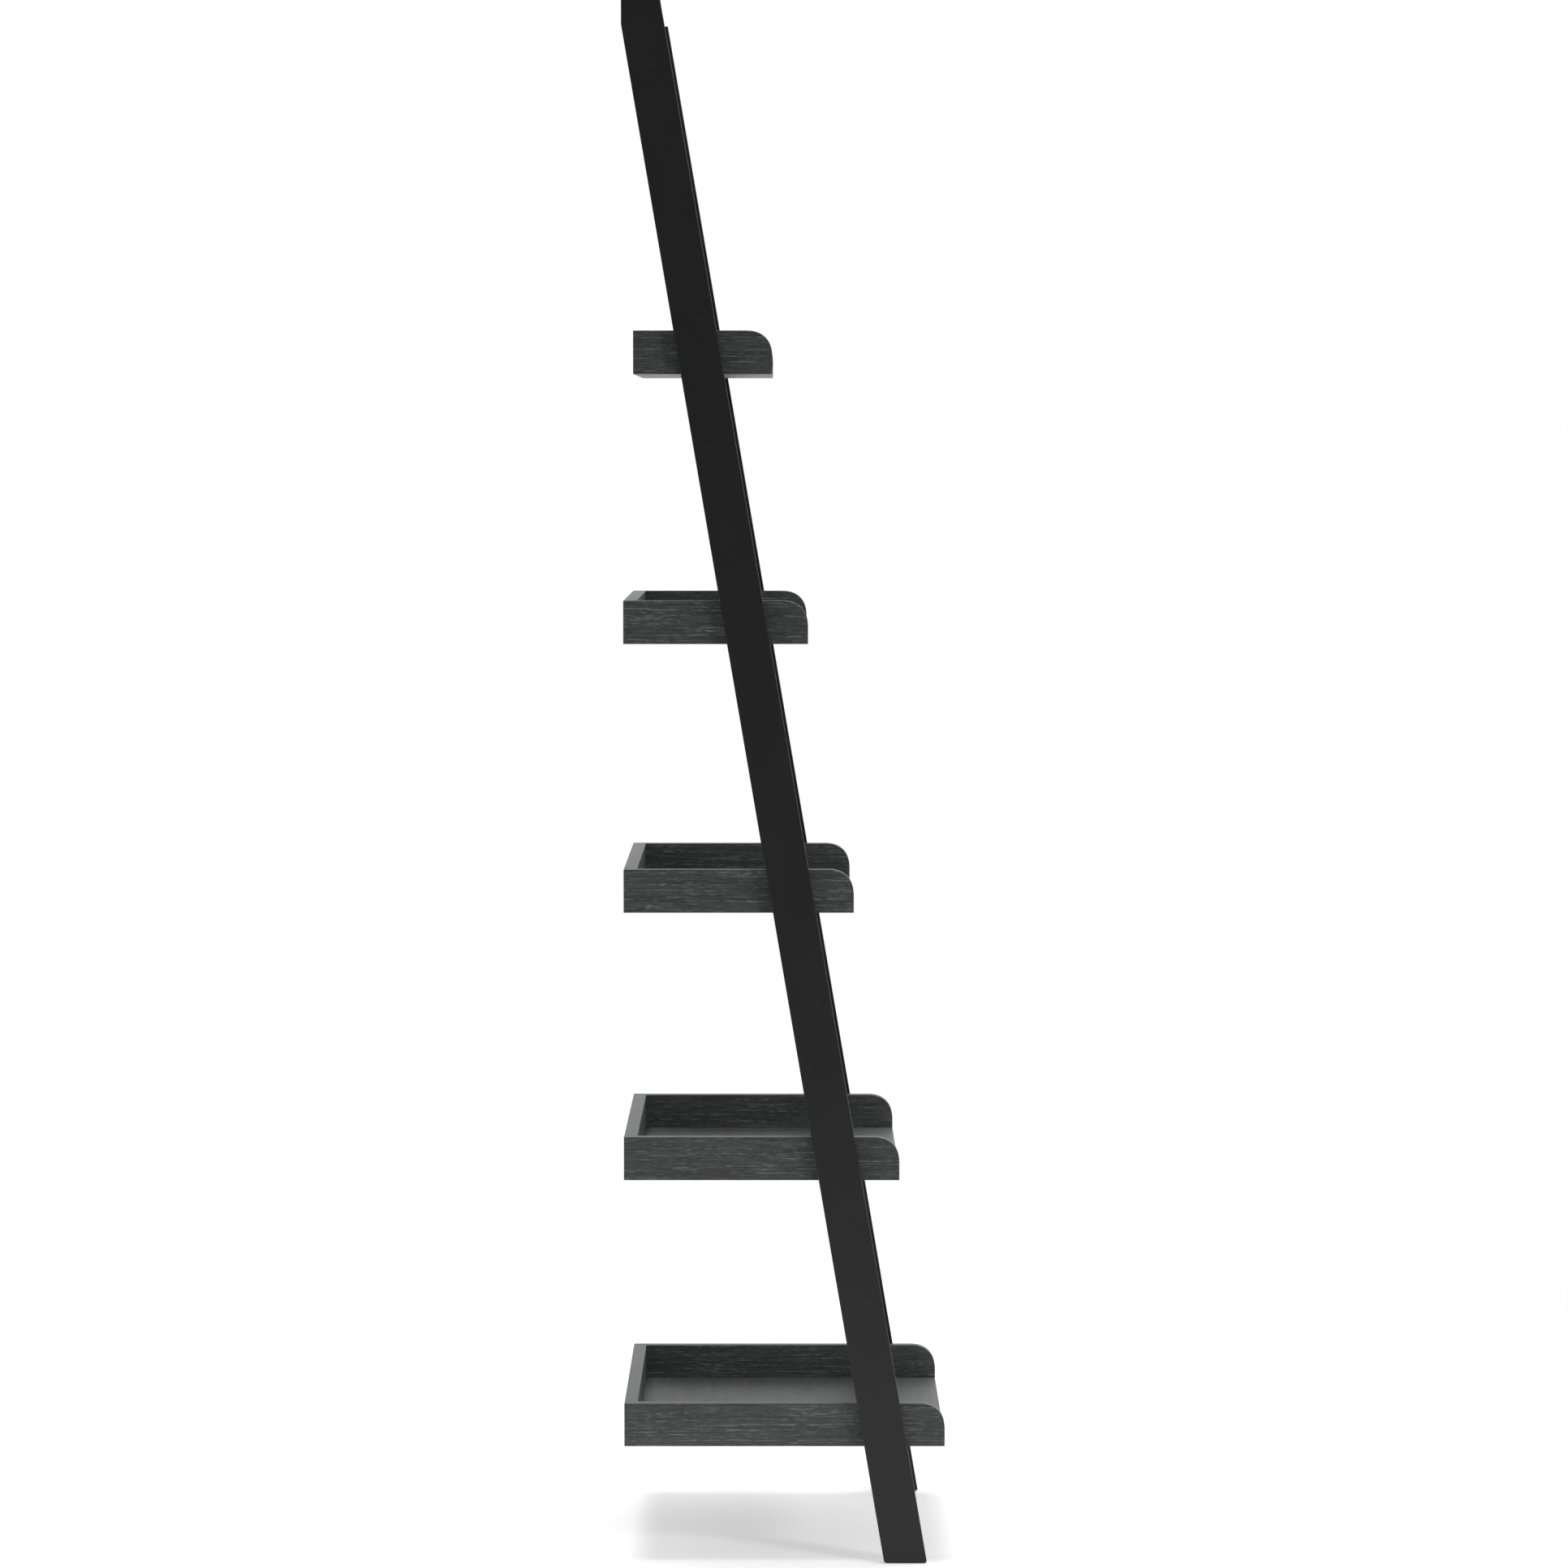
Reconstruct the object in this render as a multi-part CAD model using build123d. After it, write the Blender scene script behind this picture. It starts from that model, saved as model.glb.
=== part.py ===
from build123d import *

import os

# A leaning ladder shelf. Two sloping side rails stand on the floor, lean on a wall and carry five
# open-fronted trays, which get shallower towards the top.
#
# Millimetres. X runs across the width, with 0 halfway between the rails and +X on the right as seen
# from the front. The wall is at +Y and the open front at -Y, with Y = 0 halfway from the wall to the
# front of the deepest tray. Z is the height above the floor. A distance called "out" is measured
# from the wall towards the front. Each piece that comes in a left and a right hand is drawn on the
# right and mirrored.

# ---- driving dimensions -------------------------------------------------------------------------

overall_width = 622.0
overall_height = 2216.0

# rails
rail_thickness = 19.0            # along X
rail_level_depth = 61.0          # front to back, measured level, as on the foot
wall_cut_height = 37.0           # the upright cut that lies on the wall, below the rail's top
rail_above_top_tray = 465.5      # height from the top tray's upper edge to the rail's top
rail_edge_radius = 1.0

# thin pads under the rails' feet
foot_pad_thickness = 2.0
foot_pad_inset = 2.0
foot_pad_corner_radius = 3.0

# trays
tray_count = 5
lowest_tray_underside = 165.0
deepest_tray_depth = 456.5
tray_overhang = 64.0             # in front of the rail, level with the upper edge of the lowest tray
tray_wall_gap = 1.5
top_tray_wall_gap = 16.0         # the top tray stands further out from the wall than the others
tray_side_height = 61.5
side_panel_thickness = 19.0
back_panel_thickness = 19.0
floor_panel_thickness = 12.0
front_corner_length = 38.5       # how far the soft front corner runs along each edge
panel_edge_radius = 0.8

# joint bolts, put in from inside a tray, through its side panel into a threaded insert in the rail
bolt_radius = 3.0
bolt_spacing = 30.0
bolt_in_insert = 11.0
bolt_hole_clearance = 0.25
bolt_head_overhang = 4.0         # beyond the shank, all round
bolt_head_height = 2.5
bolt_head_edge = 0.6
bolt_tip_chamfer = 0.5
bolt_socket_width = 4.0
bolt_socket_depth = 1.6
insert_wall = 1.45
insert_length = 12.5
insert_recess = 0.5
insert_end_gap = 1.0
thread_clearance = 0.05

# glued dowels that join a tray's floor and back to its sides
dowel_radius = 3.0
dowel_in_side_panel = 11.0
dowel_in_other_panel = 18.0
dowel_end_gap = 1.0
dowel_end_chamfer = 0.8
floor_dowel_margin = 45.0        # from each end of the floor to its nearest dowel
floor_dowel_most_apart = 130.0
back_dowel_margin = 15.0         # from the upper and lower edge of the back panel

# steel angle brackets that hold the rails to the wall
bracket_thickness = 2.0
bracket_height = 30.0
bracket_wall_leg = 32.0
bracket_front_margin = 8.5       # from the leg on the rail to the rail's front edge
bracket_bend_radius = 1.5        # inside the bend
bracket_corner_radius = 5.0
bracket_drop = 3.0               # below the rail's top
wall_screw_hole_radius = 2.75
wall_screw_from_rail = 19.0
rail_screw_radius = 2.0
rail_screw_length = 14.0         # from the rail's face to the tip
rail_screw_hole_clearance = 0.25
rail_screw_head_radius = 4.0
rail_screw_head_height = 2.0
rail_screw_head_edge = 1.4
rail_screw_tip_taper = 1.8
rail_screw_cross_length = 4.2
rail_screw_cross_width = 1.0
rail_screw_cross_depth = 1.1
rail_screw_margin = 9.0          # from the end of the leg on the rail
rail_screw_from_bend = 13.69     # from the end of the bracket's bend to the nearer screw

# ---- sizes that follow from them ----------------------------------------------------------------

wall_y = (deepest_tray_depth + tray_wall_gap) / 2
rail_outer_x = overall_width / 2
rail_inner_x = rail_outer_x - rail_thickness
tray_inner_x = rail_inner_x - side_panel_thickness

lowest_tray_top = lowest_tray_underside + tray_side_height
top_tray_top = overall_height - rail_above_top_tray
tray_pitch = (top_tray_top - lowest_tray_top) / (tray_count - 1)

wall_meet_height = overall_height - wall_cut_height
rail_back_at_lowest_tray = tray_wall_gap + deepest_tray_depth - tray_overhang - rail_level_depth
rail_slope = rail_back_at_lowest_tray / (wall_meet_height - lowest_tray_top)

insert_bore_radius = bolt_radius + thread_clearance
insert_outer_radius = insert_bore_radius + insert_wall
bolt_head_radius = bolt_radius + bolt_head_overhang


def y_at(out):
    """The Y of a point that is this far out from the wall."""
    return wall_y - out


def rail_back_out(height):
    """How far out the line of the rail's back edge is at a height."""
    return rail_slope * (wall_meet_height - height)


def rail_front_out(height):
    return rail_back_out(height) + rail_level_depth


def rail_middle_out(height):
    return rail_back_out(height) + rail_level_depth / 2


def tray_underside(tray):
    return lowest_tray_underside + tray * tray_pitch


def tray_back_out(tray):
    return top_tray_wall_gap if tray == tray_count - 1 else tray_wall_gap


def tray_depth(tray):
    return deepest_tray_depth - tray * tray_pitch * rail_slope


def tray_front_out(tray):
    return tray_back_out(tray) + tray_depth(tray)


# ---- helpers ------------------------------------------------------------------------------------

def bar_along_x(start_x, end_x, y, z, radius):
    """A round bar or drill along X."""
    base = Plane(origin=(start_x, y, z), x_dir=(0, 1, 0), z_dir=(1, 0, 0))
    return base * Cylinder(radius, end_x - start_x, align=(Align.CENTER, Align.CENTER, Align.MIN))


def round_rim(bar, which):
    """The round edge at the low (0) or high (-1) end of a bar along X."""
    return bar.edges().filter_by(GeomType.CIRCLE).group_by(Axis.X)[which]


def board_from_outline(outline, start_x, thickness):
    """A flat board that stands in the YZ plane and starts at start_x."""
    return Pos(start_x, 0, 0) * extrude(Plane.YZ * make_face(outline), thickness)


def other_hand(shape):
    """The mirrored piece for the left side."""
    return mirror(shape, about=Plane.YZ)


def both_hands(shapes):
    return Compound(list(shapes) + [other_hand(shape) for shape in shapes])


# ---- places of the fastenings -------------------------------------------------------------------

def bolt_places(tray):
    """(y, z) of the bolts in one side of a tray: level with each other, about the rail's middle."""
    open_height = tray_side_height - floor_panel_thickness
    z = tray_underside(tray) + floor_panel_thickness + open_height / 2
    middle = y_at(rail_middle_out(z))
    return [(middle - bolt_spacing / 2, z), (middle + bolt_spacing / 2, z)]


def all_bolt_places():
    return [place for tray in range(tray_count) for place in bolt_places(tray)]


def floor_dowel_places(tray):
    """(y, z) of the dowels between a tray's floor panel and one side panel."""
    z = tray_underside(tray) + floor_panel_thickness / 2
    rear_out = tray_back_out(tray) + back_panel_thickness + floor_dowel_margin
    front_out = tray_front_out(tray) - floor_dowel_margin
    gaps = max(1, round((front_out - rear_out) / floor_dowel_most_apart))
    step = (front_out - rear_out) / gaps
    return [(y_at(rear_out + step * i), z) for i in range(gaps + 1)]


def back_dowel_places(tray):
    """(y, z) of the dowels between a tray's back panel and one side panel."""
    y = y_at(tray_back_out(tray) + back_panel_thickness / 2)
    low = tray_underside(tray) + back_dowel_margin
    high = tray_underside(tray) + tray_side_height - back_dowel_margin
    return [(y, low), (y, high)]


def bracket_middle_height():
    return overall_height - bracket_drop - bracket_height / 2


def bracket_rail_leg():
    """Front to back length of the bracket's leg on the rail."""
    return rail_front_out(overall_height) - bracket_front_margin


def rail_screw_places():
    """(y, z) of the screws that hold a bracket to its rail."""
    front = bracket_rail_leg() - rail_screw_margin
    rear = bracket_thickness + bracket_bend_radius + rail_screw_from_bend
    return [(y_at(out), bracket_middle_height()) for out in (front, rear)]


# ---- rails --------------------------------------------------------------------------------------

def make_rail():
    """A straight board, cut level at the foot and the top, and upright where it lies on the wall."""
    foot = foot_pad_thickness
    top = overall_height
    outline = Polyline(
        (y_at(rail_back_out(foot)), foot),
        (y_at(0), wall_meet_height),
        (y_at(0), top),
        (y_at(rail_front_out(top)), top),
        (y_at(rail_front_out(foot)), foot),
        close=True,
    )
    board = board_from_outline(outline, rail_inner_x, rail_thickness)
    board = fillet(board.edges().filter_by(Plane.YZ), rail_edge_radius)
    pocket_end = rail_inner_x + insert_recess + insert_length + insert_end_gap
    drills = [
        bar_along_x(rail_inner_x, pocket_end, y, z, insert_outer_radius)
        for y, z in all_bolt_places()
    ]
    drills += [
        bar_along_x(rail_inner_x, rail_inner_x + rail_screw_length + thread_clearance, y, z,
                    rail_screw_radius + thread_clearance)
        for y, z in rail_screw_places()
    ]
    return board - drills


def make_inserts():
    """The threaded inserts of one rail: plain sleeves, set just below the rail's inner face."""
    start = rail_inner_x + insert_recess
    end = start + insert_length
    return [
        bar_along_x(start, end, y, z, insert_outer_radius)
        - bar_along_x(start, end, y, z, insert_bore_radius)
        for y, z in all_bolt_places()
    ]


def make_foot_pad():
    """A thin pad under a rail's level foot, set in a little all round."""
    pad = Box(
        rail_thickness - 2 * foot_pad_inset,
        rail_level_depth - 2 * foot_pad_inset,
        foot_pad_thickness,
        align=(Align.CENTER, Align.CENTER, Align.MIN),
    )
    pad = fillet(pad.edges().filter_by(Axis.Z), foot_pad_corner_radius)
    return Pos(rail_inner_x + rail_thickness / 2, y_at(rail_middle_out(foot_pad_thickness)), 0) * pad


# ---- trays --------------------------------------------------------------------------------------

def make_side_panel(tray):
    """An upright side board. Its front top corner is one soft curve, tangent to both edges."""
    bottom = tray_underside(tray)
    top = bottom + tray_side_height
    back = y_at(tray_back_out(tray))
    front = y_at(tray_front_out(tray))
    curve_top = (front + front_corner_length, top)
    curve_front = (front, top - front_corner_length)
    edges = Polyline(curve_front, (front, bottom), (back, bottom), (back, top), curve_top)
    corner = Bezier(curve_top, (front, top), curve_front)
    board = board_from_outline(edges + corner, tray_inner_x, side_panel_thickness)
    board = fillet(board.edges().filter_by(Plane.YZ), panel_edge_radius)
    drills = [
        bar_along_x(tray_inner_x, tray_inner_x + dowel_in_side_panel + dowel_end_gap, y, z,
                    dowel_radius)
        for y, z in floor_dowel_places(tray) + back_dowel_places(tray)
    ]
    drills += [
        bar_along_x(tray_inner_x, rail_inner_x, y, z, bolt_radius + bolt_hole_clearance)
        for y, z in bolt_places(tray)
    ]
    return board - drills


def end_dowel_holes(places):
    """Blind holes in both ends of a panel that runs from side to side."""
    start = tray_inner_x - dowel_in_other_panel - dowel_end_gap
    drills = [bar_along_x(start, tray_inner_x, y, z, dowel_radius) for y, z in places]
    return drills + [other_hand(drill) for drill in drills]


def make_floor_panel(tray):
    """The tray's floor, which fills the space between the sides from the back to the open front."""
    back = y_at(tray_back_out(tray) + back_panel_thickness)
    front = y_at(tray_front_out(tray))
    board = Pos(0, front, tray_underside(tray)) * Box(
        2 * tray_inner_x,
        back - front,
        floor_panel_thickness,
        align=(Align.CENTER, Align.MIN, Align.MIN),
    )
    front_edges = board.edges().filter_by(Axis.X).group_by(Axis.Y)[0]
    return fillet(front_edges, panel_edge_radius) - end_dowel_holes(floor_dowel_places(tray))


def make_back_panel(tray):
    """The tray's back board, as tall as its sides and fitted between them."""
    board = Pos(0, y_at(tray_back_out(tray)), tray_underside(tray)) * Box(
        2 * tray_inner_x,
        back_panel_thickness,
        tray_side_height,
        align=(Align.CENTER, Align.MAX, Align.MIN),
    )
    long_edges = board.edges().filter_by(Axis.X)
    shown = long_edges.group_by(Axis.Z)[-1] + long_edges.group_by(Axis.Y)[-1].group_by(Axis.Z)[0]
    return fillet(shown, panel_edge_radius) - end_dowel_holes(back_dowel_places(tray))


def make_dowels(tray):
    """The dowels of one tray, floor and back, on one side."""
    dowels = []
    for y, z in floor_dowel_places(tray) + back_dowel_places(tray):
        start = tray_inner_x - dowel_in_other_panel
        end = tray_inner_x + dowel_in_side_panel
        dowel = bar_along_x(start, end, y, z, dowel_radius)
        dowels.append(chamfer(dowel.edges().filter_by(GeomType.CIRCLE), dowel_end_chamfer))
    return dowels


def make_bolts(tray):
    """The flat-headed socket bolts of one tray, on one side."""
    bolts = []
    head_start = tray_inner_x - bolt_head_height
    tip = rail_inner_x + insert_recess + bolt_in_insert
    for y, z in bolt_places(tray):
        head = bar_along_x(head_start, tray_inner_x, y, z, bolt_head_radius)
        head = chamfer(round_rim(head, 0), bolt_head_edge)
        shank = bar_along_x(tray_inner_x, tip, y, z, bolt_radius)
        shank = chamfer(round_rim(shank, -1), bolt_tip_chamfer)
        mouth = Plane(origin=(head_start, y, z), x_dir=(0, 1, 0), z_dir=(1, 0, 0))
        hexagon = mouth * RegularPolygon(bolt_socket_width / 2, 6, major_radius=False)
        bolts.append(head + shank - extrude(hexagon, bolt_socket_depth))
    return bolts


# ---- wall fixings -------------------------------------------------------------------------------

def make_bracket():
    """An angle bracket: one leg lies on the rail's inner face, the other flat on the wall."""
    thick = bracket_thickness
    wall_end = rail_inner_x - bracket_wall_leg
    rail_end = y_at(bracket_rail_leg())
    middle = bracket_middle_height()
    outer_bend = (rail_inner_x, y_at(0))
    inner_bend = (rail_inner_x - thick, y_at(thick))
    outline = make_face(Polyline(
        (wall_end, y_at(0)),
        outer_bend,
        (rail_inner_x, rail_end),
        (rail_inner_x - thick, rail_end),
        inner_bend,
        (wall_end, y_at(thick)),
        close=True,
    ))
    strip = Pos(0, 0, middle - bracket_height / 2) * extrude(outline, bracket_height)
    uprights = strip.edges().filter_by(Axis.Z)
    outer = uprights.sort_by_distance((*outer_bend, middle))[0]
    strip = fillet(outer, bracket_bend_radius + thick)
    inner = strip.edges().filter_by(Axis.Z).sort_by_distance((*inner_bend, middle))[0]
    strip = fillet(inner, bracket_bend_radius)
    wall_leg_corners = strip.edges().filter_by(Axis.Y).group_by(Axis.X)[0]
    strip = fillet(wall_leg_corners, bracket_corner_radius)
    rail_leg_corners = strip.edges().filter_by(Axis.X).group_by(Axis.Y)[0]
    strip = fillet(rail_leg_corners, bracket_corner_radius)
    drills = [
        bar_along_x(rail_inner_x - thick, rail_inner_x, y, z,
                    rail_screw_radius + rail_screw_hole_clearance)
        for y, z in rail_screw_places()
    ]
    wall_hole = Plane(
        origin=(rail_inner_x - wall_screw_from_rail, y_at(thick), middle), z_dir=(0, 1, 0)
    ) * Cylinder(wall_screw_hole_radius, thick, align=(Align.CENTER, Align.CENTER, Align.MIN))
    return strip - drills - wall_hole


def make_bracket_screws():
    """The round-headed screws that hold one bracket to its rail."""
    screws = []
    seat = rail_inner_x - bracket_thickness
    head_start = seat - rail_screw_head_height
    for y, z in rail_screw_places():
        head = bar_along_x(head_start, seat, y, z, rail_screw_head_radius)
        head = fillet(round_rim(head, 0), rail_screw_head_edge)
        shank = bar_along_x(seat, rail_inner_x + rail_screw_length, y, z, rail_screw_radius)
        shank = chamfer(round_rim(shank, -1), rail_screw_tip_taper)
        screw = head + shank
        for width, height in (
            (rail_screw_cross_length, rail_screw_cross_width),
            (rail_screw_cross_width, rail_screw_cross_length),
        ):
            slot = Box(2 * rail_screw_cross_depth, width, height)
            screw -= Pos(head_start, y, z) * slot
        screws.append(screw)
    return screws


# ---- the pieces, one file each ------------------------------------------------------------------

os.makedirs("parts", exist_ok=True)


def save(name, shape):
    export_step(shape, f"parts/{name}.step")


def save_pair(name, shape):
    save(f"right_{name}", shape)
    save(f"left_{name}", other_hand(shape))


save_pair("rail", make_rail())
save_pair("rail_inserts", Compound(make_inserts()))
save_pair("foot_pad", make_foot_pad())
save_pair("wall_bracket", make_bracket())
save("bracket_screws", both_hands(make_bracket_screws()))

for tray in range(tray_count):
    name = f"tray_{tray + 1}"
    side_panel = make_side_panel(tray)
    save(f"{name}_right_side", side_panel)
    save(f"{name}_left_side", other_hand(side_panel))
    save(f"{name}_floor", make_floor_panel(tray))
    save(f"{name}_back", make_back_panel(tray))
    save(f"{name}_dowels", both_hands(make_dowels(tray)))
    save(f"{name}_bolts", both_hands(make_bolts(tray)))
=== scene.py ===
import math

import bmesh
import bpy
from bpy.props import FloatProperty, FloatVectorProperty, IntProperty, PointerProperty
from mathutils import Matrix, Vector


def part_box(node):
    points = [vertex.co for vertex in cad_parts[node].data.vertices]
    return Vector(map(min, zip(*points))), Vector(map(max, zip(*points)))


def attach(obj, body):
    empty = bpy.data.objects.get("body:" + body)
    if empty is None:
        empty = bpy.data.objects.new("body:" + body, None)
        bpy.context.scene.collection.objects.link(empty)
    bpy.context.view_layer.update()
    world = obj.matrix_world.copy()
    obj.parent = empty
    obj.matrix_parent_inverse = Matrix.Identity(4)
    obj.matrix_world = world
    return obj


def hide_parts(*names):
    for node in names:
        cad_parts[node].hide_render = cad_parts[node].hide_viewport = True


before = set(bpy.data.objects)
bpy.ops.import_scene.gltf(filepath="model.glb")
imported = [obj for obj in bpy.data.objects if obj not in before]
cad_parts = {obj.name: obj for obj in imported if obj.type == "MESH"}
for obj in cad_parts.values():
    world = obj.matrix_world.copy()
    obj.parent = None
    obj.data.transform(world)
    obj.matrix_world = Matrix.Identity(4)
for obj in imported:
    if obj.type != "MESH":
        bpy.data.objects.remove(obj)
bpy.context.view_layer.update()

bl_info = {
    "name": "Ladder Shelf",
    "version": (1, 0, 0),
    "blender": (4, 5, 0),
    "location": "3D View > Sidebar > Ladder Shelf",
    "description": "Builds the boards, fastenings, finishes and studio of a leaning ladder shelf",
    "category": "Object",
}

# Metres throughout. X runs across the shelf, the wall is at +Y, the open front at -Y and Z is up.

MM = 0.001
TRAY_COUNT = sum(name.endswith("_floor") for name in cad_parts)
TRAYS = [f"tray_{number + 1}" for number in range(TRAY_COUNT)]
BODY = "root"

# The boards' own UV map, and their marks for worn edges and for the edge faces, which take
# fewer pale pores and a painted highlight.
GRAIN_MAP = "grain"
WEAR = "wear"
EDGE_BAND_AND_HIGHLIGHT = "band"

# A board's lane shifts the pattern of its grain, along and across, so that no two look alike. The
# rails have the first lanes, and the tray boards start at these.
LANE_ALONG = 1.7
LANE_ACROSS = 0.31
SIDE_LANE = 5
FLOOR_LANE = 20
BACK_LANE = 30

# Tests of place and of direction. The directions are compared by their dot product.
SAME_POINT = 0.001 * MM
SAME_PLACE = 0.01 * MM
SAME_WAY = 0.99
MOSTLY = 0.7
BOARD_FACE = 0.9
WORN_EDGE = (0.1, 0.97)

# Edges sharper than the first angle are rounded, those blunter than the second are shaded smoothly,
# and those blunter than the third are taken for flat.
SHARP = math.radians(40)
BLUNT = math.radians(35)
FLAT = math.radians(1)

# How far a cutting tool runs on past the board, and the sides of the round ones.
OVERRUN = 1.0 * MM
ROUND_SIDES = 48
HOLE_SIDES = 32
PILOT_SIDES = 24

# Radius that a shank loses for each metre of its tip.
TIP_TAPER = 0.9


# ---- sizes and colours that a user would change -------------------------------------------------

def length(name, description, millimetres):
    """A length property, with its default given in millimetres."""
    return FloatProperty(
        name=name, description=description, default=millimetres * MM, min=0, precision=5,
        subtype="DISTANCE", unit="LENGTH",
    )


def colour(name, description, red, green, blue):
    return FloatVectorProperty(
        name=name, description=description, default=(red, green, blue), min=0, max=1, size=3,
        subtype="COLOR",
    )


def share(name, description, default):
    return FloatProperty(
        name=name, description=description, default=default, min=0, max=1, subtype="FACTOR",
    )


def strength(name, description, default):
    return FloatProperty(name=name, description=description, default=default, min=0)


def angle(name, description, degrees):
    """An angle property, with its default given in degrees."""
    return FloatProperty(
        name=name, description=description, default=math.radians(degrees), subtype="ANGLE",
        unit="ROTATION",
    )


class ShelfSizes(bpy.types.PropertyGroup):
    """Sizes that the boards' and fastenings' outer boxes don't say."""

    rail_depth: length("Rail depth", "Front to back, measured level", 61.0)
    wall_cut: length("Wall cut", "Height of the upright cut at a rail's top", 37.0)
    rail_edge: length("Rail edge", "Rounding of a rail's long edges", 1.0)
    board_edge: length("Tray edge", "Rounding of a tray board's edges", 0.8)
    joint_edge: length("Joint edge", "Rounding where one tray board meets another", 0.4)
    corner: length("Front corner", "How far a tray side's soft corner runs along each edge", 38.5)
    corner_fullness: share("Corner fullness", "Shape of the soft corner: 0.5 is round", 0.5625)
    corner_steps: IntProperty(
        name="Corner steps", description="Faces round the soft corner", default=20, min=4)
    fitting_edge: length("Fitting edge", "Rounding of the brackets' and pads' edges", 0.3)
    bolt_head: length("Bolt head", "Radius of a bolt's head", 7.0)
    bolt_head_height: length("Bolt head height", "Height of a bolt's head", 2.5)
    bolt_radius: length("Bolt shank", "Radius of a bolt's shank", 3.0)
    bolt_socket: length("Bolt socket", "Width across the flats of a bolt's socket", 4.0)
    bolt_socket_depth: length("Socket depth", "Depth of a bolt's socket", 1.6)
    bolt_tip: length("Bolt tip", "Length of the taper at a bolt's tip", 0.5)
    bolt_head_edge: length("Bolt head edge", "Rounding of a bolt head's rim", 0.6)
    bolt_clearance: length("Hole clearance", "Between a shank and its hole, all round", 0.25)
    insert_radius: length("Insert", "Outer radius of a threaded insert", 4.5)
    insert_end_gap: length("Insert end gap", "Past the end of a threaded insert", 1.0)
    bracket_sheet: length("Bracket sheet", "Thickness of a wall bracket", 2.0)
    bracket_bend: length("Bracket bend", "Inside radius of a bracket's bend", 1.5)
    bracket_corner: length("Bracket corner", "Radius of a bracket's corners", 5.0)
    wall_hole: length("Wall screw hole", "Radius of the hole for the wall screw", 2.75)
    wall_hole_place: length("Wall hole place", "From the rail to the wall screw's hole", 19.0)
    screw_head: length("Screw head", "Radius of a bracket screw's head", 4.0)
    screw_head_height: length("Screw head height", "Height of a bracket screw's head", 2.0)
    screw_radius: length("Screw shank", "Radius of a bracket screw's shank", 2.0)
    screw_dome: share("Screw dome", "How much of a screw head's height is rounded", 0.7)
    screw_tip: length("Screw tip", "Length of the taper at a screw's tip", 1.8)
    slot_length: length("Slot length", "Of each slot in a screw's cross", 4.2)
    slot_width: length("Slot width", "Of each slot in a screw's cross", 1.0)
    slot_depth: length("Slot depth", "Of each slot in a screw's cross", 1.1)
    pad_corner: length("Pad corner", "Radius of a foot pad's corners", 3.0)


class ShelfColours(bpy.types.PropertyGroup):
    """Colours, and how much of each shows."""

    paint: colour("Rail paint", "Satin black paint on the rails", 0.0038, 0.0038, 0.0038)
    paint_rubbed: colour("Rubbed paint", "Paint along the rails' edges", 0.05, 0.05, 0.05)
    stain: colour("Stain", "Charcoal stain in the open wood", 0.028, 0.030, 0.0295)
    stain_light: colour("Light stain", "Charcoal stain on the harder wood", 0.064, 0.068, 0.067)
    fleck: colour("Flecks", "Short pale pores in the wood", 0.20, 0.208, 0.205)
    flecks: share("Fleck strength", "How strongly the pale pores show", 0.6)
    # Painted light: the two floor colours are paler than the side stain, standing in for the light
    # from above on the floors' upward faces.
    floor_stain_painted_lighter: colour("Floor stain", "Stain on the smoother tray floors", 0.084, 0.086, 0.085)
    floor_pale_stain_painted_lighter: colour(
        "Pale floor stain", "Paler streaks in the tray floors", 0.144, 0.148, 0.146)
    # The edge colour is a painted highlight: paler than the stain, it stands in for the light that
    # the boards' edges catch.
    edge_painted_highlight: colour("Edge stain", "Stain on the boards' banded edges", 0.094, 0.097, 0.096)
    steel: colour("Black steel", "Oxide on the bolts and screws", 0.03, 0.03, 0.032)
    powder: colour("Powder coat", "Coat on the wall brackets", 0.022, 0.022, 0.023)
    rubber: colour("Foot pad", "Rubber under the rails", 0.03, 0.03, 0.03)
    brass: colour("Brass", "Threaded inserts", 0.72, 0.53, 0.25)
    beech: colour("Beech", "Dowels", 0.52, 0.37, 0.22)


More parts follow.
